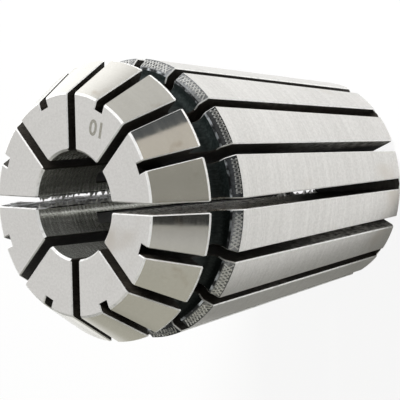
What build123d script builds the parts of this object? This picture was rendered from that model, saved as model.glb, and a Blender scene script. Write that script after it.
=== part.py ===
import os
from math import radians, sqrt, tan

from build123d import *

# A spring collet with a long 8 degree taper, turned from one bar of spring steel, slit
# from both ends, hardened and ground. It stands on its small rear end with the nose up,
# and the origin is the centre of the rear face. Sizes are in millimetres and degrees.

# Main sizes
body_length = 34.0
large_diameter = 26.0
bore_diameter = 10.0
face_diameter = 20.6

# Nose cone, which the clamping nut presses on, and the narrow land behind it
nose_half_angle = 30.0
nose_land = 0.25

# Extraction groove and the bevelled flange behind it
flange_front_depth = 8.25
flange_bevel = 0.8
groove_diameter = 22.0
groove_corner = 0.7

# Long taper, which seats in the tool holder
taper_half_angle = 8.0

# Slits, sawn from each end by a disc that runs out in a curve before the other end
slits_per_end = 8
slit_width = 1.0
saw_radius = 25.0
saw_overrun = 3.0
web_length_at_bore = 7.3
notch_floor_radius = 9.4

# Broken edges
bore_chamfer = 0.2
face_chamfer = 0.15
rear_chamfer = 0.3
flange_tip_chamfer = 0.12
slit_chamfer = 0.1

# Radii and heights that follow from the sizes above
bore_radius = bore_diameter / 2
face_radius = face_diameter / 2
large_radius = large_diameter / 2
groove_radius = groove_diameter / 2
flange_front = body_length - flange_front_depth
flange_front_radius = large_radius - flange_bevel
taper_top = flange_front - flange_bevel
rear_radius = large_radius - taper_top * tan(radians(taper_half_angle))
land_top = body_length - (large_radius - face_radius) / tan(radians(nose_half_angle))
groove_top = land_top - nose_land

# The disc's edge passes through two corners of the web that each slit leaves: one in
# the bore and one on the end face. Its centre lies square off the line between them.
web_rise = notch_floor_radius - bore_radius
web_slope_length = sqrt(web_rise**2 + web_length_at_bore**2)
saw_offset = sqrt(saw_radius**2 - (web_slope_length / 2) ** 2)
saw_centre_radius = bore_radius + web_rise / 2 + saw_offset * web_length_at_bore / web_slope_length
saw_centre_height = web_length_at_bore / 2 + saw_offset * web_rise / web_slope_length

tolerance = 0.001


def corners_at(sketch, radius):
    """Corners of the turned section at one radius."""
    return sketch.vertices().filter_by(lambda corner: abs(corner.X - radius) < tolerance)


def is_turned(face):
    """True on a cone, or on a cylinder about the collet's axis: a slit's floor leans."""
    upright = face.geom_type == GeomType.CYLINDER and abs(face.normal_at().Z) < tolerance
    return upright or face.geom_type == GeomType.CONE


# Saw path of a slit open at the nose: the disc at the end of its cut, and its way in
with BuildPart() as nose_slit:
    with BuildSketch(Plane.XZ):
        with Locations((saw_centre_radius, saw_centre_height)):
            Circle(saw_radius)
            Rectangle(
                2 * saw_radius,
                body_length + saw_overrun - saw_centre_height,
                align=(Align.CENTER, Align.MIN),
            )
    extrude(amount=slit_width / 2, both=True)

# The same path turned end for end, open at the rear
with BuildPart() as rear_slit:
    mirror(nose_slit.part, about=Plane.XY.offset(body_length / 2))

with BuildPart() as collet:
    # Turned section: bore, long taper, flange, groove, nose land and nose cone
    with BuildSketch(Plane.XZ) as section:
        with BuildLine():
            Polyline(
                (bore_radius, 0),
                (rear_radius, 0),
                (large_radius, taper_top),
                (flange_front_radius, flange_front),
                (groove_radius, flange_front),
                (groove_radius, groove_top),
                (large_radius, groove_top),
                (large_radius, land_top),
                (face_radius, body_length),
                (bore_radius, body_length),
                close=True,
            )
        make_face()
        fillet(corners_at(section, groove_radius), groove_corner)
        chamfer(corners_at(section, bore_radius), bore_chamfer)
        chamfer(corners_at(section, rear_radius), rear_chamfer)
        chamfer(corners_at(section, face_radius), face_chamfer)
        chamfer(corners_at(section, flange_front_radius), flange_tip_chamfer)
    revolve(axis=Axis.Z)

    # Slits from the nose, and slits from the rear half a pitch round
    with PolarLocations(0, slits_per_end):
        add(nose_slit.part, mode=Mode.SUBTRACT)
    with PolarLocations(0, slits_per_end, start_angle=180 / slits_per_end):
        add(rear_slit.part, mode=Mode.SUBTRACT)

    # Break the edges of the slits where they meet the turned faces and the end faces
    flat_faces = faces().filter_by(GeomType.PLANE)
    slit_walls = flat_faces.filter_by(Axis.Z, reverse=True)
    end_faces = flat_faces.filter_by(Axis.Z)
    turned_faces = faces().filter_by(is_turned)
    broken_edges = slit_walls.edges() & (end_faces + turned_faces).edges()
    chamfer(broken_edges, slit_chamfer)

collet.part.label = "collet"
os.makedirs("parts", exist_ok=True)
export_step(collet.part, "parts/collet.step")
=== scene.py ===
import random
from math import cos, hypot, pi, radians, sin, sqrt, tan

import bmesh
import bpy
from mathutils import Matrix, Vector


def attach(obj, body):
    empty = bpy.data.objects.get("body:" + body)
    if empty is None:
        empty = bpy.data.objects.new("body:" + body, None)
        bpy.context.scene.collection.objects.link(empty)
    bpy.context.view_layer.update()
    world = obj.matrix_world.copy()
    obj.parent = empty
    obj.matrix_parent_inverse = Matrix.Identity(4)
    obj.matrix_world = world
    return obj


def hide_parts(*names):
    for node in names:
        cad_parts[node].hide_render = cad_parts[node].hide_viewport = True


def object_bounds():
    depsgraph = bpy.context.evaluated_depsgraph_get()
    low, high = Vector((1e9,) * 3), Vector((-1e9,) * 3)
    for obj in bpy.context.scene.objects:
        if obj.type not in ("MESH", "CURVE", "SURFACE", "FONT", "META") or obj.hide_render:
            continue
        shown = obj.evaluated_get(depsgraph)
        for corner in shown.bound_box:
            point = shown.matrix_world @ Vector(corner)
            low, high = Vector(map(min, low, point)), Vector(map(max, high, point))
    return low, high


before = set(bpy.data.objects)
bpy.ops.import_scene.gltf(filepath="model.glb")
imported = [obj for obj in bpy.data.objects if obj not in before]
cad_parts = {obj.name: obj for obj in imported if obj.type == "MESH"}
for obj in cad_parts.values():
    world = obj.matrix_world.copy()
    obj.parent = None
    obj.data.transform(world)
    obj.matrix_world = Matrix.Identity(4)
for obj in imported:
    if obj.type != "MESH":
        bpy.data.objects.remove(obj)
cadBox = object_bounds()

scene = bpy.context.scene
mm = 0.001  # the dictionaries give lengths in millimetres, and angles in degrees where no note says radians
steelIndex = 2.5  # of refraction


class Wire:
    # wraps a node socket, so that sums written on sockets add their Math nodes
    def __init__(self, tree, socket):
        self.tree = tree
        self.socket = socket

    def node(self, kind, settings=None, sockets=None, out=0):
        made = self.tree.nodes.new(kind)
        for name, value in (settings or {}).items():
            setattr(made, name, value)
        for name, value in (sockets or {}).items():
            if isinstance(value, Wire):
                self.tree.links.new(value.socket, made.inputs[name])
            else:
                made.inputs[name].default_value = value
        return Wire(self.tree, made.outputs[out])

    def maths(self, operation, *values):
        return self.node("ShaderNodeMath", {"operation": operation}, dict(enumerate(values)))

    def __add__(self, other):
        return self.maths("ADD", self, other)

    def __sub__(self, other):
        return self.maths("SUBTRACT", self, other)

    def __rsub__(self, other):
        return self.maths("SUBTRACT", other, self)

    def __mul__(self, other):
        return self.maths("MULTIPLY", self, other)

    def __truediv__(self, other):
        return self.maths("DIVIDE", self, other)

    __radd__ = __add__
    __rmul__ = __mul__

    def sine(self):
        return self.maths("SINE", self)

    def absolute(self):
        return self.maths("ABSOLUTE", self)

    def between(self, low, high):
        # 0 below the first value, 1 above the second, smooth from one to the other
        return self.node("ShaderNodeMapRange", {"interpolation_type": "SMOOTHSTEP"},
                         {"Value": self, "From Min": low, "From Max": high})

    def mixColour(self, first, second):
        # the Mix node's colours are its sockets 6 and 7, and its third output
        return self.node("ShaderNodeMix", {"data_type": "RGBA"}, {0: self, 6: first, 7: second}, out=2)

    def vector(self, x, y, z):
        return self.node("ShaderNodeCombineXYZ", None, {0: x, 1: y, 2: z})

    def parts(self):
        # this wire is a vector here and in the methods below
        first = self.node("ShaderNodeSeparateXYZ", None, {0: self})
        return [Wire(self.tree, socket) for socket in first.socket.node.outputs]

    def scaled(self, scale, turn=(0, 0, 0)):
        return self.node("ShaderNodeMapping", None, {"Vector": self, "Rotation": turn, "Scale": scale})

    def noise(self, detail, roughness=0.5):
        return self.node("ShaderNodeTexNoise", None,
                         {"Vector": self, "Scale": 1.0, "Detail": detail, "Roughness": roughness})

    def grain(self, size, detail, roughness=0.5):
        return self.scaled([1 / size] * 3).noise(detail, roughness)


class Finish(Wire):
    # a material whose Principled shader gets its fixed values here and its patterns through link()
    def __init__(self, name, fixed):
        self.material = bpy.data.materials.new(name)
        self.material.use_nodes = True
        self.shader = self.material.node_tree.nodes["Principled BSDF"]
        super().__init__(self.material.node_tree, None)
        for socket, value in fixed.items():
            self.shader.inputs[socket].default_value = value

    def link(self, socket, wire):
        self.tree.links.new(wire.socket, self.shader.inputs[socket])

    def place(self):
        # Object coordinates in millimetres
        return self.node("ShaderNodeTexCoord", out="Object").scaled([1 / mm] * 3)

    def fromAxis(self, x, y):
        return self.node("ShaderNodeVectorMath", {"operation": "LENGTH"},
                         {0: self.vector(x, y, 0)}, out="Value")

    def bump(self, height, strength, depth):
        self.link("Normal", self.node("ShaderNodeBump", None,
                                      {"Height": height, "Strength": strength, "Distance": depth * mm}))


def colour(red, green, blue):
    return (red, green, blue, 1.0)


def dimmed(tint, level):
    return colour(*[part * level for part in tint[:3]])


def meshOf(name, shape, finishes):
    # the mesh of a bmesh shape, which is used up
    mesh = bpy.data.meshes.new(name)
    shape.to_mesh(mesh)
    shape.free()
    for finish in finishes:
        mesh.materials.append(finish)
    return mesh


def addPiece(name, mesh):
    made = bpy.data.objects.new(name, mesh)
    scene.collection.objects.link(made)
    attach(made, "root")
    return made


# In every look a contrast is the pair of noise values between which the pattern goes from one colour to
# the other, and roughness and metallic are what the pattern may add to.
steelLook = {
    "bright": colour(0.76, 0.75, 0.735),
    "worn": colour(0.57, 0.56, 0.545),
    "metallic": 0.9,
    "roughness": 0.22,
    "anisotropic": 0.4,
    "lineShare": 0.6,  # of the lines in the pattern, where the speckles have the rest
    "lineWidth": 0.14,
    "lineDrift": 0.05,  # how soon a line fades round the axis, per mm
    "lineDepth": 0.0012,
    "lineContrast": (0.25, 0.75),
    "stretch": 1.5,  # how much finer the lines are along the axis than on a flat end
    "bandRate": 0.13,  # a line's width over that of the broad bands behind the lines
    "bandContrast": (0.3, 0.7),
    "speckleSize": 0.25,
    "speckleContrast": (0.35, 0.65),
    "stain": colour(0.60, 0.57, 0.53),
    "stainSize": 6.0,
    "stainContrast": (0.62, 0.8),
}


def groundSteel(name, look):
    # steel ground round the axis, with fine lines that follow the wheel
    finish = Finish(name, {"IOR": steelIndex, "Anisotropic": look["anisotropic"],
                           "Anisotropic Rotation": 0.25})
    spot = finish.place()
    x, y, z = spot.parts()
    along = (z * look["stretch"] + finish.fromAxis(x, y)) / look["lineWidth"]
    driftX = x * look["lineDrift"]
    driftY = y * look["lineDrift"]
    lines = finish.vector(along, driftX, driftY).noise(3, 0.6)
    bands = finish.vector(along * look["bandRate"], driftX, driftY).noise(2, 0.6)
    stains = spot.grain(look["stainSize"], 2)
    speckle = spot.grain(look["speckleSize"], 3, 0.7)
    turned = lines.between(*look["lineContrast"]) * 0.6 + bands.between(*look["bandContrast"]) * 0.4
    plain = speckle.between(*look["speckleContrast"])
    shine = turned * look["lineShare"] + plain * (1 - look["lineShare"])
    base = shine.mixColour(look["worn"], look["bright"])
    finish.link("Base Color", stains.between(*look["stainContrast"]).mixColour(base, look["stain"]))
    finish.link("Roughness", look["roughness"] + lines * 0.16 + stains * 0.06)
    finish.link("Metallic", look["metallic"] + stains * 0.1)
    finish.bump(lines, 0.6, look["lineDepth"])
    return finish.material


scaleLook = {
    "dark": colour(0.010, 0.014, 0.014),
    "light": colour(0.036, 0.045, 0.044),
    "contrast": (0.35, 0.8),
    "metallic": 0.35,
    "roughness": 0.3,
    "streakScale": (5.0, 5.0, 0.9),  # per mm, so that the streaks run along the axis
    "streakLean": (0.2, 0.3, 0.0),  # in radians
    "gritSize": 1 / 9,
    "gritDepth": 0.04,
}


def hardeningScale(name, look):
    # the black skin that hardening leaves on what is not ground afterwards
    finish = Finish(name, {"Metallic": look["metallic"], "Specular IOR Level": 0.2})
    spot = finish.place()
    streaks = spot.scaled(look["streakScale"], look["streakLean"]).noise(4, 0.65)
    grit = spot.grain(look["gritSize"], 2)
    finish.link("Base Color", streaks.between(*look["contrast"]).mixColour(look["dark"], look["light"]))
    finish.link("Roughness", look["roughness"] + grit * 0.3)
    finish.bump(streaks * 0.7 + grit * 0.3, 0.5, look["gritDepth"])
    return finish.material


sawnLook = {
    "dark": colour(0.014, 0.012, 0.010),
    "light": colour(0.045, 0.039, 0.032),
    "contrast": (0.35, 0.68),
    "roughness": 0.35,
    "streakWidth": 0.16,  # across the saw's way
    "streakLength": 0.7,
    "streakDrift": 0.4,  # how soon the streaks change from slit to slit, per mm
    "streakDepth": 0.08,
    "lumpSize": 1 / 1.7,
    "innerShade": 0.7,  # painted shade: how much blacker the walls are towards the bore, deep in the slit
    "innerFade": (6, 9.5),  # the distances from the axis between which that fades
    "paintedRearLight": colour(0.80, 0.78, 0.75),  # painted light: a lighter wall colour towards the rear end, where the slits open outwards
    "paintedRearLightHeight": (5, 20),
    "paintedRearLightAlongX": (7.2, 8.2),
    "paintedRearLightBeside": (1.5, 2.5),  # from the plane y = 0, so that the slit there gets no painted light near the rear end
    "paintedLitWallDark": colour(0.25, 0.23, 0.20),  # painted light: the walls of the slit in the plane y = 0 get a lighter colour
    "paintedLitWallLight": colour(0.92, 0.87, 0.80),
    "paintedLitWallFrom": (3.5, 6.5),  # height over x where its painted-lighter walls begin
    "paintedLitWallBeside": (0.6, 0.9),
    "paintedLitWallSmoother": 0.22,  # taken off their roughness
    "paintedBackLight": colour(0.85, 0.86, 0.88),  # painted light: bright patches on the slit's walls at -X, standing for light from behind
    "paintedBackLightAlongX": (4, 5),
    "paintedBackLightContrast": (0.5, 0.54),
    "paintedBackLightWidth": 1.0,
    "paintedBackLightLength": 1.4,
}


def sawnSteel(name, look):
    # the slits' walls, browned in the furnace; painted shade darkens them towards the bore, and painted
    # light brightens them near the rear ends, along the slit in the plane y = 0, and in patches at -X
    finish = Finish(name, {"Specular IOR Level": 0.3})
    spot = finish.place()
    x, y, z = spot.parts()
    radius = finish.fromAxis(x, y)
    beside = y.absolute()
    across = (x + y) * look["streakDrift"]
    streaks = finish.vector(radius / look["streakWidth"], across, z / look["streakLength"]).noise(4, 0.7)
    paintedBackLightPatches = finish.vector(radius / look["paintedBackLightWidth"], y, z / look["paintedBackLightLength"]).noise(3, 0.7)
    lumps = spot.grain(look["lumpSize"], 3, 0.6)
    rough = streaks * 0.6 + lumps * 0.4
    shade = rough.between(*look["contrast"])
    # painted shade: the walls darken towards the bore, deep in the slits
    inside = (1 - radius.between(*look["innerFade"])) * look["innerShade"]
    scale = inside.mixColour(shade.mixColour(look["dark"], look["light"]), look["dark"])
    # painted light: the outer walls near the rear end are lighter, as if lit through the open slit ends
    low = 1 - z.between(*look["paintedRearLightHeight"])
    paintedRearLight = low * x.between(*look["paintedRearLightAlongX"]) * beside.between(*look["paintedRearLightBeside"])
    scale = paintedRearLight.mixColour(scale, shade.mixColour(look["light"], look["paintedRearLight"]))
    # painted light: the walls of the slit in the plane y = 0 are lighter towards the nose, and there a
    # little smoother and more metallic
    paintedLitWall = (z - x).between(*look["paintedLitWallFrom"]) * (1 - beside.between(*look["paintedLitWallBeside"]))
    # painted shade and painted light: at -X that slit's walls are dark, with bright patches of painted light
    atBack = (x * -1).between(*look["paintedBackLightAlongX"])
    paintedBackLight = paintedBackLightPatches.between(*look["paintedBackLightContrast"]) * atBack * paintedLitWall
    wall = atBack.mixColour(shade.mixColour(look["paintedLitWallDark"], look["paintedLitWallLight"]), look["dark"])
    paintedLight = paintedLitWall * (1 - atBack)
    finish.link("Base Color", paintedBackLight.mixColour(paintedLitWall.mixColour(scale, wall), look["paintedBackLight"]))
    finish.link("Metallic", paintedLight * 0.8 + paintedBackLight * 0.7 + paintedRearLight * 0.6)
    finish.link("Roughness", look["roughness"] + lumps * 0.3 - paintedLight * look["paintedLitWallSmoother"])
    finish.bump(rough, 1.0, look["streakDepth"])
    return finish.material


boreLook = {
    "light": colour(0.97, 0.98, 0.93),
    "dark": colour(0.42, 0.425, 0.39),
    "contrast": (0.35, 0.65),
    "metallic": 0.8,
    "roughness": 0.06,
    "ridgePitch": 0.5,  # the boring tool's feed
    "ridgeDepth": 0.016,
    "scratchWidth": 1 / 9,
    "scratchDrift": 0.3,
    "patchSize": 2.0,
    "paintedLightShare": 0.4,  # painted light: how much of the tone comes from the lighter half of the bore, on the +Y side
    "paintedLightAlongY": (-1, 2),
}


def boredSteel(name, look):
    # the bore's wall, with the ridges that the boring tool left round it
    finish = Finish(name, {"IOR": steelIndex})
    spot = finish.place()
    x, y, z = spot.parts()
    ridges = (z * (2 * pi / look["ridgePitch"])).sine()
    drift = look["scratchDrift"]
    scratches = finish.vector(z / look["scratchWidth"], x * drift, y * drift).noise(3, 0.6)
    patches = spot.grain(look["patchSize"], 2)
    shade = (scratches * 0.5 + patches * 0.3 + ridges * 0.03 + 0.1).between(*look["contrast"])
    # painted light: the bore's wall is lighter on its +Y half
    paintedLight = y.between(*look["paintedLightAlongY"])
    light = shade * (1 - look["paintedLightShare"]) + paintedLight * look["paintedLightShare"]
    finish.link("Base Color", light.mixColour(look["dark"], look["light"]))
    finish.link("Roughness", look["roughness"] + scratches * 0.12 + ridges * 0.05)
    finish.link("Metallic", look["metallic"] + patches * 0.1)
    finish.bump(ridges * 0.4 + scratches * 0.6, 0.6, look["ridgeDepth"])
    return finish.material


edgeLook = {
    # partly painted highlight: the near-white colour makes the broken edges and the land shine alike from
    # every side
    "colour": colour(0.93, 0.93, 0.92),
    "dullness": 0.75,  # share of that colour that the duller spots keep
    "contrast": (0.45, 0.75),
    "nickSize": 0.5,
    "metallic": 0.45,
    "roughness": 0.3,
}


def polishedEdge(name, look):
    # bright steel on a broken edge or a burr, with duller spots; on the edges its near-white colour is
    # partly a painted highlight
    finish = Finish(name, {"Metallic": look["metallic"], "IOR": steelIndex})
    nicks = finish.place().grain(look["nickSize"], 3)
    duller = dimmed(look["colour"], look["dullness"])
    finish.link("Base Color", nicks.between(*look["contrast"]).mixColour(look["colour"], duller))
    finish.link("Roughness", look["roughness"] + nicks * 0.2)
    return finish.material


colletSizes = {
    "largeRadius": 13.0,
    "faceRadius": 10.3,
    "boreRadius": 5.0,
    "noseHalfAngle": 30.0,
    "noseLand": 0.25,
    "grooveRadius": 11.0,
    "flangeDepth": 8.25,
    "flangeBevel": 0.8,
    "taperHalfAngle": 8.0,
    "slitsPerEnd": 8,
    "slitWidth": 1.0,
}
largeRadius = colletSizes["largeRadius"]
faceRadius = colletSizes["faceRadius"]
boreRadius = colletSizes["boreRadius"]
length = cadBox[1].z / mm
noseSlope = tan(radians(colletSizes["noseHalfAngle"]))
landTop = length - (largeRadius - faceRadius) / noseSlope
grooveTop = landTop - colletSizes["noseLand"]
flangeTop = length - colletSizes["flangeDepth"]
taperTop = flangeTop - colletSizes["flangeBevel"]
taperSlope = tan(radians(colletSizes["taperHalfAngle"]))
tilts = {
    "cone": radians(colletSizes["noseHalfAngle"]),
    "taper": -radians(colletSizes["taperHalfAngle"]),
    "bevel": radians(45),
}

# how a facet's surface is known from its centre and from the parts of its normal
facetLimits = {
    "fit": 0.03,  # how far a facet's centre may lie inside the true surface
    "endFit": 0.005,
    "upright": 0.9,  # least part outwards of the land and of the taper
    "level": 0.1,  # most part upwards of the bore
    "taperTilt": 0.06,  # how far the taper's part upwards may be from the true one
    "raised": 0.4,  # least part upwards of the cone and of the bevel
    "wall": 0.9,  # least part sideways of a slit's wall
    "broken": 0.3,  # least part sideways of a slit's broken edge
    "tipOut": (0.15, 0.6),  # part outwards of the flange's front edge, which faces up more than that
    "edgeReach": 0.25,  # of the broken edges, from the corner that they break
    "rearReach": 0.35,
    "rearRadius": 9.0,  # outside this, the rear end's edge is broken
    "weld": 0.0001,
    "sharp": 22,  # where the surface turns more than this, it isn't shaded smooth
}


def turnedZone(height, radius, out, up):
    # the turned surface that a spot at this height and radius belongs to, or None inside a slit
    limits = facetLimits
    fit = limits["fit"]
    upright = out > limits["upright"]
    raised = out > 0 and up > limits["raised"]
    if height > length - limits["endFit"]:
        return "face"
    if height < limits["endFit"]:
        return "rear"
    if out < 0 and radius < boreRadius + fit and abs(up) < limits["level"]:
        return "bore"
    if upright and radius > largeRadius - fit and grooveTop < height < landTop:
        return "edge"
    if raised and abs(radius - largeRadius + (height - landTop) * noseSlope) < fit:
        return "cone"
    alongTaper = abs(up - sin(tilts["taper"])) < limits["taperTilt"]
    if upright and alongTaper and abs(largeRadius - (taperTop - height) * taperSlope - radius) < fit:
        return "taper"
    if raised and abs(radius - largeRadius + (height - taperTop)) < fit:
        return "bevel"
    if flangeTop - fit < height < grooveTop + fit and radius > colletSizes["grooveRadius"] - fit:
        return "groove"
    return None


def zoneOf(centre, normal):
    limits = facetLimits
    reach = limits["edgeReach"]
    height = centre.z / mm
    radius = hypot(centre.x, centre.y) / mm
    outward = Vector((centre.x, centre.y, 0)).normalized()
    out = normal.dot(outward)
    sideways = abs(normal.cross(outward).z)
    if sideways > limits["wall"]:
        return "slit"
    inNeck = flangeTop - limits["fit"] < height < grooveTop + limits["fit"] and radius < largeRadius - reach
    atBore = radius < boreRadius + reach
    if sideways > limits["broken"]:
        return "slit" if inNeck or atBore else "edge"
    tipRadius = largeRadius - colletSizes["flangeBevel"]
    nearTip = abs(height - flangeTop) < reach and abs(radius - tipRadius) < reach
    least, most = limits["tipOut"]
    if nearTip and least < out < most < normal.z:
        return "tip"
    found = turnedZone(height, radius, out, normal.z)
    if found:
        return found
    nearFace = height > length - reach and radius > faceRadius - reach
    nearRear = height < limits["rearReach"] and radius > limits["rearRadius"]
    nearBoreEnd = atBore and not limits["rearReach"] < height < length - reach
    return "edge" if nearFace or nearRear or nearBoreEnd else "slit"


def truePerpendicular(point, normal, zone):
    # a turned surface's own direction at a corner: by its known tilt, or in the groove by that of the facet
    outward = Vector((point.x, point.y, 0)).normalized()
    if zone == "bore":
        return -outward
    if zone in tilts:
        return outward * cos(tilts[zone]) + Vector((0, 0, sin(tilts[zone])))
    return outward * hypot(normal.x, normal.y) + Vector((0, 0, normal.z))


def makeCollet(node, finishes):
    cut = bmesh.new()
    cut.from_mesh(node.data)
    bmesh.ops.remove_doubles(cut, verts=cut.verts, dist=facetLimits["weld"] * mm)
    zones = sorted(finishes)
    turned = {"bore", "cone", "taper", "bevel", "groove"}
    sharp = radians(facetLimits["sharp"])
    for face in cut.faces:
        zone = zoneOf(face.calc_center_median(), face.normal)
        face.material_index = zones.index(zone)
        face.smooth = True
    for edge in cut.edges:
        edge.smooth = edge.calc_face_angle(0) < sharp
    mesh = meshOf("groundCollet", cut, [finishes[zone] for zone in zones])
    directions = [Vector((0, 0, 0))] * len(mesh.loops)  # where it is zero, the mesh's own normal stays
    for polygon in mesh.polygons:
        zone = zones[polygon.material_index]
        if zone in turned:
            for corner in polygon.loop_indices:
                point = mesh.vertices[mesh.loops[corner].vertex_index].co
                directions[corner] = truePerpendicular(point, polygon.normal, zone)
    mesh.normals_split_custom_set(directions)
    made = addPiece("groundCollet", mesh)
    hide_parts("collet")


coneLook = {
    **steelLook,
    "bright": colour(0.72, 0.705, 0.66),
    "worn": colour(0.67, 0.655, 0.61),
    "stain": colour(0.56, 0.51, 0.44),
    "stainSize": 2.4,
    "roughness": 0.0,
    "anisotropic": 0.1,
    "lineWidth": 0.3,
    "lineDepth": 0.0003,
}
faceLook = {
    **steelLook,
    "worn": colour(0.66, 0.65, 0.635),
    "lineShare": 0.35,
    "lineWidth": 0.16,
    "lineDepth": 0.0004,
}
bandLook = {
    **steelLook,
    "bright": colour(0.40, 0.41, 0.42),
    "worn": colour(0.015, 0.015, 0.015),
    "roughness": 0.1,
    "lineWidth": 0.1,
}
# painted highlight: bluish bright streaks with near-black between them along the flange's front edge
tipLook = {
    **edgeLook,
    "colour": colour(0.72, 0.76, 0.80),
    "dullness": 0.04,
    "contrast": (0.38, 0.56),
    "nickSize": 1.0,
    "metallic": 0.9,
}
faceSteel = groundSteel("faceSteel", faceLook)
makeCollet(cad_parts["collet"], {
    "face": faceSteel,
    "rear": faceSteel,
    "cone": groundSteel("coneSteel", coneLook),
    "groove": hardeningScale("blackScale", scaleLook),
    "tip": polishedEdge("tipSteel", tipLook),
    "bevel": groundSteel("bandSteel", bandLook),
    "taper": groundSteel("taperSteel", steelLook),
    "bore": boredSteel("boreSteel", boreLook),
    "slit": sawnSteel("sawnWall", sawnLook),
    "edge": polishedEdge("brightEdge", edgeLook),
})
print("collet made")

knurlLook = {
    "pitch": 0.37,  # from ridge to ridge round the collet
    "slant": 33,  # of the ridges from the bevel's own slope, both ways
    "firstEdge": 0.17,  # from the flange's front edge, down the bevel
    "lastEdge": 1.07,
    "outOfTrue": 0.36,  # how far the wheel ran off the band where it left the widest plain strip
    "offAt": 24,
    "width": 0.16,
    "topShare": 0.5,  # of the ridge's base that its flat top keeps
    "height": 0.06,
    "sunk": 0.02,
    "uneven": 0.75,  # how much the ridges differ in height
    "strays": 9,  # how far a ridge turns from the slant
    "clearOfSlit": 0.1,
    "seed": 7,
}
knurlSteelLook = {
    **steelLook,
    "bright": colour(0.72, 0.72, 0.70),
    "worn": colour(0.58, 0.58, 0.56),
    "roughness": 0.18,
    "anisotropic": 0.0,
}


def makeKnurl(look, finish):
    # ridges that cross each other on the bevel, left out where a slit cuts the band
    draw = random.Random(look["seed"])
    band = bmesh.new()
    slitStep = pi / colletSizes["slitsPerEnd"]
    count = round(2 * pi * largeRadius / look["pitch"])
    base = look["width"] / sqrt(2) * mm
    for side in (-1, 1):
        for ridge in range(count):
            turn = ridge * 2 * pi / count
            runOff = look["outOfTrue"] * max(0, cos(2 * (turn - radians(look["offAt"]))))
            start = look["firstEdge"] + runOff
            down = (start + look["lastEdge"]) / 2 / sqrt(2)
            radius = largeRadius - colletSizes["flangeBevel"] + down
            slant = side * radians(look["slant"] + draw.uniform(-1, 1) * look["strays"])
            long = (look["lastEdge"] - start) / cos(slant)
            reach = colletSizes["slitWidth"] / 2 + look["clearOfSlit"] + long / 2 * abs(sin(slant))
            tall = look["height"] * (1 - draw.random() * look["uneven"])
            if abs((turn + slitStep / 2) % slitStep - slitStep / 2) * radius < reach:
                continue
            place = (Matrix.Rotation(turn, 4, "Z")
                     @ Matrix.Translation(Vector((radius, 0, flangeTop - down)) * mm)
                     @ Matrix.Rotation(tilts["bevel"], 4, "Y")
                     @ Matrix.Rotation(slant, 4, "Z")
                     @ Matrix.Translation(Vector((0, 0, (tall - look["sunk"]) / 2)) * mm)
                     @ Matrix.Diagonal((long / look["width"], 1, 1, 1))
                     @ Matrix.Rotation(pi / 4, 4, "Z"))
            bmesh.ops.create_cone(band, cap_ends=True, segments=4, radius1=base,
                                  radius2=base * look["topShare"], depth=(tall + look["sunk"]) * mm,
                                  matrix=place)
    addPiece("rimKnurl", meshOf("rimKnurl", band, [finish]))


makeKnurl(knurlLook, groundSteel("knurlSteel", knurlSteelLook))
print("knurl made")

burrLook = {
    "step": 0.2,  # from burr to burr along a slit's edges in the bore
    "rows": {180: (7.6, 33.4), 0: (7.4, 13.5)},  # the slit's place round the axis, and the row's two heights
    "foot": (0.10, 0.24),
    "tipShare": 0.25,  # of the foot that the point keeps
    "flattened": 0.6,  # the foot's size along the slit's depth
    "stretched": 1.4,  # and along its length
    "reach": (0.06, 0.56),  # how far they stand out into the slit
    "mostlyShort": 1.6,  # 1 would give short and long ones alike
    "deeper": 0.5,  # how far behind the bore's wall they start, at most
    "sunk": 0.03,
    "lean": 0.5,  # at most, along the slit's length, in radians
    "swing": 0.4,  # at most, along its depth, in radians
    "seed": 11,
}


def makeBurrs(look, finish):
    # ragged points of steel on the two bore edges of a slit
    draw = random.Random(look["seed"])
    ragged = bmesh.new()
    wall = colletSizes["slitWidth"] / 2
    shortest, longest = look["reach"]
    places = [(side, turn, first + step * look["step"])
              for turn, (first, last) in look["rows"].items()
              for side in (-1, 1)
              for step in range(round((last - first) / look["step"]))]
    for side, turn, height in places:
        foot = draw.uniform(*look["foot"])
        reach = shortest + (longest - shortest) * draw.random() ** look["mostlyShort"]
        height += draw.random() * look["step"]
        out = boreRadius + foot * look["flattened"] + draw.random() * look["deeper"]
        lean = Matrix.Rotation(draw.uniform(-look["lean"], look["lean"]), 4, "X")
        swing = Matrix.Rotation(draw.uniform(-look["swing"], look["swing"]), 4, "Z")
        place = (Matrix.Rotation(radians(turn), 4, "Z")
                 @ Matrix.Translation(Vector((out, side * (wall + look["sunk"]), height)) * mm)
                 @ lean @ swing @ Matrix.Rotation(side * pi / 2, 4, "X")
                 @ Matrix.Translation(Vector((0, 0, reach / 2)) * mm)
                 @ Matrix.Diagonal((look["flattened"], look["stretched"], 1, 1)))
        bmesh.ops.create_cone(ragged, cap_ends=True, segments=5, radius1=foot * mm,
                              radius2=foot * look["tipShare"] * mm, depth=reach * mm, matrix=place)
    addPiece("sawBurrs", meshOf("sawBurrs", ragged, [finish]))


makeBurrs(burrLook, polishedEdge("burrSteel", {**edgeLook, "metallic": 0.8}))
print("burrs made")

numberLook = {
    "text": "10",
    "height": 1.4,
    "typeShare": 0.69,  # of the type's size that a digit's height takes
    "centre": (3.45, 7.15),
    "turn": 166,
    "thickness": 0.012,
    "bolder": 0.05,
    "colour": colour(0.30, 0.29, 0.25),
    "pale": colour(0.46, 0.45, 0.41),
    "contrast": (0.35, 0.75),
    "grainSize": 1 / 7,
    "metallic": 0.75,
    "roughness": 0.4,
}


def etchedSteel(name, look):
    # steel dulled by an electric etch
    finish = Finish(name, {"Metallic": look["metallic"]})
    grain = finish.place().grain(look["grainSize"], 3, 0.6)
    finish.link("Base Color", grain.between(*look["contrast"]).mixColour(look["colour"], look["pale"]))
    finish.link("Roughness", look["roughness"] + grain * 0.2)
    return finish.material


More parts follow.
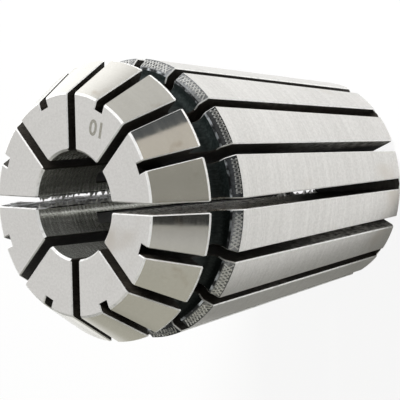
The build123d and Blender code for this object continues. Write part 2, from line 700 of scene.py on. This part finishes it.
def makeNumber(look, finish):
    # the bore's size in millimetres, on the face
    digits = bpy.data.curves.new("sizeType", "FONT")
    digits.body = look["text"]
    digits.align_x = "CENTER"
    digits.align_y = "CENTER"
    digits.size = look["height"] / look["typeShare"] * mm
    digits.extrude = look["thickness"] / 2 * mm
    digits.offset = look["bolder"] * mm
    flat = bpy.data.objects.new("sizeType", digits)
    scene.collection.objects.link(flat)
    bpy.context.view_layer.update()
    mesh = bpy.data.meshes.new_from_object(flat)
    bpy.data.objects.remove(flat)
    across, along = look["centre"]
    mesh.transform(Matrix.Translation(Vector((across, along, length)) * mm)
                   @ Matrix.Rotation(radians(look["turn"]), 4, "Z"))
    mesh.name = "sizeNumber"
    mesh.materials.clear()
    mesh.materials.append(finish)
    addPiece("sizeNumber", mesh)


makeNumber(numberLook, etchedSteel("etchedSteel", numberLook))
print("size number made")

stageLook = {
    "radius": 60,
    "segments": 96,
    "white": colour(0.9, 0.9, 0.9),
    "roughness": 0.9,
    "ownLightSeen": 0.9,  # share of plain white that the camera sees, which no shadow darkens
    "ownLightReflected": 0.08,  # the same share in what the steel mirrors
}


def makeFloor(look):
    sheet = bmesh.new()
    bmesh.ops.create_circle(sheet, cap_ends=True, segments=look["segments"], radius=look["radius"] * mm)
    finish = Finish("paleFloor", {"Base Color": look["white"], "Roughness": look["roughness"],
                                  "Specular IOR Level": 0.0})
    seen, glossy, through = [finish.node("ShaderNodeLightPath", out=ray)
                             for ray in ("Is Camera Ray", "Is Glossy Ray", "Is Transmission Ray")]
    ownLight = finish.maths("MAXIMUM", (seen + through) * look["ownLightSeen"],
                            glossy * look["ownLightReflected"])
    glow = finish.node("ShaderNodeEmission", None, {"Color": colour(1, 1, 1), "Strength": 1.0})
    lit = Wire(finish.tree, finish.shader.outputs[0])
    mixed = finish.node("ShaderNodeMixShader", None, {0: ownLight, 1: lit, 2: glow})
    finish.tree.links.new(mixed.socket, finish.tree.nodes["Material Output"].inputs["Surface"])
    floor = bpy.data.objects.new("floor", meshOf("floor", sheet, [finish.material]))
    scene.collection.objects.link(floor)


makeFloor(stageLook)
print("floor made")

worldLook = {
    "fillTop": colour(0.44, 0.435, 0.425),  # what lights the dull surfaces, from the top side
    "fillLow": colour(0.16, 0.16, 0.12),  # and from the low side
    "mirrored": 0.6,  # what the steel mirrors where no card stands
    "cards": {  # inner and outer are the angles from a card's direction between which it fades out
        "topSide": {"direction": (0.1, 0.97, 0.1), "inner": 20, "outer": 70, "level": 0.63,
                    "tint": colour(1.0, 0.995, 0.97)},
        "lowSide": {"direction": (-0.1, -0.98, 0.0), "inner": 35, "outer": 75, "level": 0.5,
                    "tint": colour(1.0, 0.985, 0.87)},
        "behind": {"direction": (-0.85, 0.4, -0.25), "inner": 12, "outer": 50, "level": 1.35,
                   "tint": colour(1.0, 1.0, 1.0)},
        "behindLow": {"direction": (-0.77, -0.30, -0.55), "inner": 8, "outer": 30, "level": 1.0,
                      "tint": colour(1.0, 1.0, 0.98)},
        "aboveFace": {"direction": (-0.715, -0.076, 0.695), "inner": 18, "outer": 50, "level": 0.84,
                      "tint": colour(1.0, 0.995, 0.98)},
        "operatorSide": {"direction": (0.93, 0.20, 0.27), "inner": 12, "outer": 50, "level": 0.32,
                         "tint": colour(1.0, 0.98, 0.88)},
        "lens": {"direction": (0.68, 0.2, 0.71), "inner": 16, "outer": 30, "level": 0.08,
                 "tint": colour(0.9, 0.97, 1.05)},
        "darkPanel": {"direction": (0.952, -0.151, 0.267), "inner": 8.2, "outer": 9.4, "level": 0.02,
                      "tint": colour(0.94, 1.0, 1.0)},
        "warmWall": {"direction": (0.65, 0.74, 0.17), "inner": 8, "outer": 20, "level": 0.58,
                     "tint": colour(1.04, 0.98, 0.89)},
        "upperPanel": {"direction": (0.38, 0.91, 0.156), "inner": 8.2, "outer": 9.8, "level": 0.06,
                       "tint": colour(0.86, 1.0, 1.12)},
        "frontPanel": {"direction": (0.39, 0.67, 0.63), "inner": 12, "outer": 22, "level": 0.03,
                       "tint": colour(0.94, 1.0, 1.0)},
        "lowPanel": {"direction": (-0.52, -0.84, 0.17), "inner": 10, "outer": 25, "level": 0.06,
                     "tint": colour(0.94, 1.0, 1.0)},
        "topHigh": {"direction": (-0.3, 0.87, 0.36), "inner": 10, "outer": 22, "level": 1.2,
                    "tint": colour(1.0, 1.0, 1.0)},
    },
}


def makeWorld(look):
    # the cards stand all round, each over those before it, and only the steel's mirror image shows them
    world = bpy.data.worlds.new("studio")
    scene.world = world
    world.use_nodes = True
    tree = world.node_tree
    wires = Wire(tree, None)
    direction = wires.node("ShaderNodeTexCoord", out="Generated")
    mirrored = dimmed(colour(1, 1, 1), look["mirrored"])
    for card in look["cards"].values():
        towards = Vector(card["direction"]).normalized()
        nearness = wires.node("ShaderNodeVectorMath", {"operation": "DOT_PRODUCT"},
                              {0: direction, 1: towards}, out="Value")
        mask = nearness.between(cos(radians(card["outer"])), cos(radians(card["inner"])))
        mirrored = mask.mixColour(mirrored, dimmed(card["tint"], card["level"]))
    side = direction.parts()[1]
    fill = (side * 0.5 + 0.5).mixColour(look["fillLow"], look["fillTop"])
    camera, glossy = [wires.node("ShaderNodeLightPath", out=ray)
                      for ray in ("Is Camera Ray", "Is Glossy Ray")]
    light = camera.mixColour(glossy.mixColour(fill, mirrored), colour(1, 1, 1))
    tree.links.new(light.socket, tree.nodes["Background"].inputs["Color"])
    tree.nodes["Background"].inputs["Strength"].default_value = 1.0


makeWorld(worldLook)
print("surroundings made")

lampLook = {
    "place": (8, 195, 200),
    "size": 90,
    "power": 0.95,  # in watts
}


def makeLamp(look):
    light = bpy.data.lights.new("overhead", "AREA")
    light.shape = "SQUARE"
    light.size = look["size"] * mm
    light.energy = look["power"]
    made = bpy.data.objects.new("overhead", light)
    place = Vector(look["place"]) * mm
    aim = Vector((0, 0, length / 2)) * mm
    facing = (aim - place).to_track_quat("-Z", "Y").to_matrix().to_4x4()
    made.matrix_world = Matrix.Translation(place) @ facing
    made.visible_glossy = False  # the steel mirrors the cards only
    scene.collection.objects.link(made)


makeLamp(lampLook)
print("lamp made")

cameraLook = {
    "aim": (-0.09, -0.694, 17.674),
    "distance": 372.41,
    "azimuth": 6.26,
    "elevation": 44.205,
    "roll": -95.739,
    "lens": 355.28,
    "sensor": 36.0,
}


def makeCamera(look):
    sight = bpy.data.cameras.new("camera")
    sight.lens = look["lens"]
    sight.sensor_width = look["sensor"]
    made = bpy.data.objects.new("camera", sight)
    turn = Matrix.Rotation(radians(look["azimuth"]), 4, "Z")
    lift = Matrix.Rotation(radians(-look["elevation"]), 4, "Y")
    back = (turn @ lift @ Vector((1, 0, 0))).normalized()
    sideways = turn @ Vector((0, 1, 0))
    upward = back.cross(sideways)
    roll = radians(look["roll"])
    right = sideways * cos(roll) + upward * sin(roll)
    top = back.cross(right)
    axes = Matrix((right, top, back)).transposed().to_4x4()
    made.matrix_world = Matrix.Translation((Vector(look["aim"]) + back * look["distance"]) * mm) @ axes
    scene.collection.objects.link(made)
    scene.camera = made


makeCamera(cameraLook)
scene.view_settings.view_transform = "Standard"
print("camera made")
